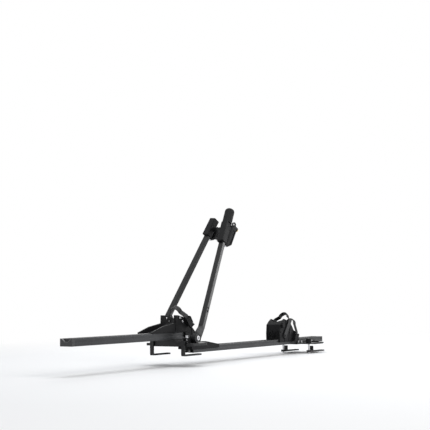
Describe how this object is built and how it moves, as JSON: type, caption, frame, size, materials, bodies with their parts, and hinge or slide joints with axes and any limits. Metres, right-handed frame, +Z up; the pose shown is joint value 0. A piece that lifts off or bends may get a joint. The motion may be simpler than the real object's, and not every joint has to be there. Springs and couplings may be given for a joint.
{
  "type": "roof mounted bike carrier",
  "caption": "Roof bar tray carrier for one bicycle: two offset wheel trays, wheel cradles with ratchet straps, folding A-frame arms with a knob-tightened jaw clamp, claws for two crossbars.",
  "frame": {"origin": "middle of the front crossbar's top face, under the base pad", "axes": "+X along the trays towards the front wheel's end, +Y to the carrier's left side, +Z up"},
  "size_m": [1.415, 0.216, 0.5714],
  "materials": {
    "anodised_black": "satin",
    "arm_black": "satin",
    "moulded_black": "fine texture",
    "strap_plastic": "satin",
    "coated_steel": "satin",
    "rubber": "matt",
    "zinc_steel": "bright zinc",
    "brass": "satin"
  },
  "bodies": {
    "base": {"base_bracket": "coated_steel", "base_pad": "rubber", "pivot_bolts": "zinc_steel", "tail_block": "moulded_black", "tray_screws": "zinc_steel", "front_tray": "anodised_black", "front_tray_cap": "moulded_black", "rear_rail": "anodised_black", "rear_rail_cap": "moulded_black", "front_cradle": "moulded_black", "front_cradle_screws": "zinc_steel", "front_strap": "strap_plastic", "front_buckle_base": "moulded_black", "front_buckle_pin": "zinc_steel", "rear_foot": "coated_steel", "rear_foot_pad": "rubber", "rear_foot_bolts": "zinc_steel"},
    "arm_frame": {"arm_foot_left": "arm_black", "arm_foot_right": "arm_black", "arm_bushes": "brass", "arm_tube_left": "arm_black", "arm_tube_right": "arm_black", "arm_rivets": "zinc_steel", "head_core_left": "moulded_black", "head_core_right": "moulded_black", "tie_rod": "arm_black", "jaw_pin_left": "zinc_steel", "jaw_pin_right": "zinc_steel"},
    "clamp_knob": {"clamp_knob": "moulded_black", "clamp_screw": "zinc_steel"},
    "jaw_left": {"clamp_jaw_left": "moulded_black", "jaw_pad_left": "rubber"},
    "jaw_right": {"clamp_jaw_right": "moulded_black", "jaw_pad_right": "rubber"},
    "lock": {"lock_barrel": "brass"},
    "front_lever": {"front_buckle_lever": "moulded_black"},
    "rear_slider": {"rear_cradle": "moulded_black", "rear_cradle_screws": "zinc_steel", "rear_strap": "strap_plastic", "rear_long_strap": "strap_plastic", "rear_buckle_base": "moulded_black", "rear_buckle_pin": "zinc_steel", "rear_pinch_bolt": "zinc_steel"},
    "rear_lever": {"rear_buckle_lever": "moulded_black"},
    "pinch": {"rear_pinch_knob": "moulded_black"},
    "front_bolt_left": {"front_clamp_bolt_left": "zinc_steel"},
    "front_hook_left": {"front_claw_left": "coated_steel", "front_claw_liner_left": "rubber"},
    "rear_turn_left": {"rear_knob_left": "moulded_black", "rear_stud_left": "zinc_steel"},
    "rear_hook_left": {"rear_claw_left": "coated_steel", "rear_claw_liner_left": "rubber"},
    "front_bolt_right": {"front_clamp_bolt_right": "zinc_steel"},
    "front_hook_right": {"front_claw_right": "coated_steel", "front_claw_liner_right": "rubber"},
    "rear_turn_right": {"rear_knob_right": "moulded_black", "rear_stud_right": "zinc_steel"},
    "rear_hook_right": {"rear_claw_right": "coated_steel", "rear_claw_liner_right": "rubber"}
  },
  "joints": [
    {"name": "arm_fold", "type": "hinge", "parent": "base", "child": "arm_frame", "pos_m": [0.004, 0, 0.0285], "axis": [0, 1, 0], "range_deg": [-15, 116]},
    {"name": "clamp_knob_turn", "type": "hinge", "parent": "arm_frame", "child": "clamp_knob", "pos_m": [-0.00543, 0.097, 0.02284], "axis": [-0.5108, -0.1278, 0.8501], "range_deg": [-288, 1440]},
    {"name": "jaw_left_swing", "type": "hinge", "parent": "arm_frame", "child": "jaw_left", "pos_m": [-0.25562, 0.045, 0.39749], "axis": [0.515, 0, -0.8572], "range_deg": [-12, 60]},
    {"name": "jaw_right_swing", "type": "hinge", "parent": "arm_frame", "child": "jaw_right", "pos_m": [-0.25562, -0.045, 0.39749], "axis": [-0.515, 0, 0.8572], "range_deg": [-12, 60]},
    {"name": "lock_turn", "type": "hinge", "parent": "jaw_left", "child": "lock", "pos_m": [-0.29757, 0.044, 0.42361], "axis": [-0.8572, 0, -0.515], "range_deg": [0, 90]},
    {"name": "front_buckle_open", "type": "hinge", "parent": "base", "child": "front_lever", "pos_m": [-0.01958, 0.0438, 0.09221], "axis": [0.848, 0, -0.5299], "range_deg": [0, 100]},
    {"name": "rear_cradle_slide", "type": "slide", "parent": "base", "child": "rear_slider", "axis": [1, 0, 0], "range_m": [-0.16, 0.3]},
    {"name": "rear_buckle_open", "type": "hinge", "parent": "rear_slider", "child": "rear_lever", "pos_m": [-0.69732, 0.0438, 0.01279], "axis": [0.9205, 0, 0.3907], "range_deg": [0, 100]},
    {"name": "rear_pinch_turn", "type": "hinge", "parent": "rear_slider", "child": "pinch", "pos_m": [-0.603, 0.038, 0.052], "axis": [0, 1, 0], "range_deg": [0, 1080]},
    {"name": "front_bolt_left_turn", "type": "hinge", "parent": "base", "child": "front_bolt_left", "pos_m": [0.024, 0.0725, 0.03], "axis": [0, 0, -1], "range_deg": [-1009, 1297]},
    {"name": "front_claw_left_lift", "type": "slide", "parent": "base", "child": "front_hook_left", "axis": [0, 0, 1], "range_m": [-0.0035, 0.0045]},
    {"name": "rear_knob_left_turn", "type": "hinge", "parent": "base", "child": "rear_turn_left", "pos_m": [-0.752, 0.064, -0.02], "axis": [0, 0, -1], "range_deg": [-1153, 1441]},
    {"name": "rear_claw_left_lift", "type": "slide", "parent": "base", "child": "rear_hook_left", "axis": [0, 0, 1], "range_m": [-0.004, 0.005]},
    {"name": "front_bolt_right_turn", "type": "hinge", "parent": "base", "child": "front_bolt_right", "pos_m": [0.024, -0.0725, 0.03], "axis": [0, 0, -1], "range_deg": [-1009, 1297]},
    {"name": "front_claw_right_lift", "type": "slide", "parent": "base", "child": "front_hook_right", "axis": [0, 0, 1], "range_m": [-0.0035, 0.0045]},
    {"name": "rear_knob_right_turn", "type": "hinge", "parent": "base", "child": "rear_turn_right", "pos_m": [-0.752, -0.064, -0.02], "axis": [0, 0, -1], "range_deg": [-1153, 1441]},
    {"name": "rear_claw_right_lift", "type": "slide", "parent": "base", "child": "rear_hook_right", "axis": [0, 0, 1], "range_m": [-0.004, 0.005]}
  ],
  "couplings": [
    {"joint": "jaw_left_swing", "follows": "clamp_knob_turn", "ratio": 0.0416},
    {"joint": "jaw_right_swing", "follows": "clamp_knob_turn", "ratio": 0.0416},
    {"joint": "front_bolt_left_turn", "follows": "front_claw_left_lift", "rad_per_m": 5026.5},
    {"joint": "rear_knob_left_turn", "follows": "rear_claw_left_lift", "rad_per_m": 5026.5},
    {"joint": "front_bolt_right_turn", "follows": "front_claw_right_lift", "rad_per_m": 5026.5},
    {"joint": "rear_knob_right_turn", "follows": "rear_claw_right_lift", "rad_per_m": 5026.5}
  ]
}
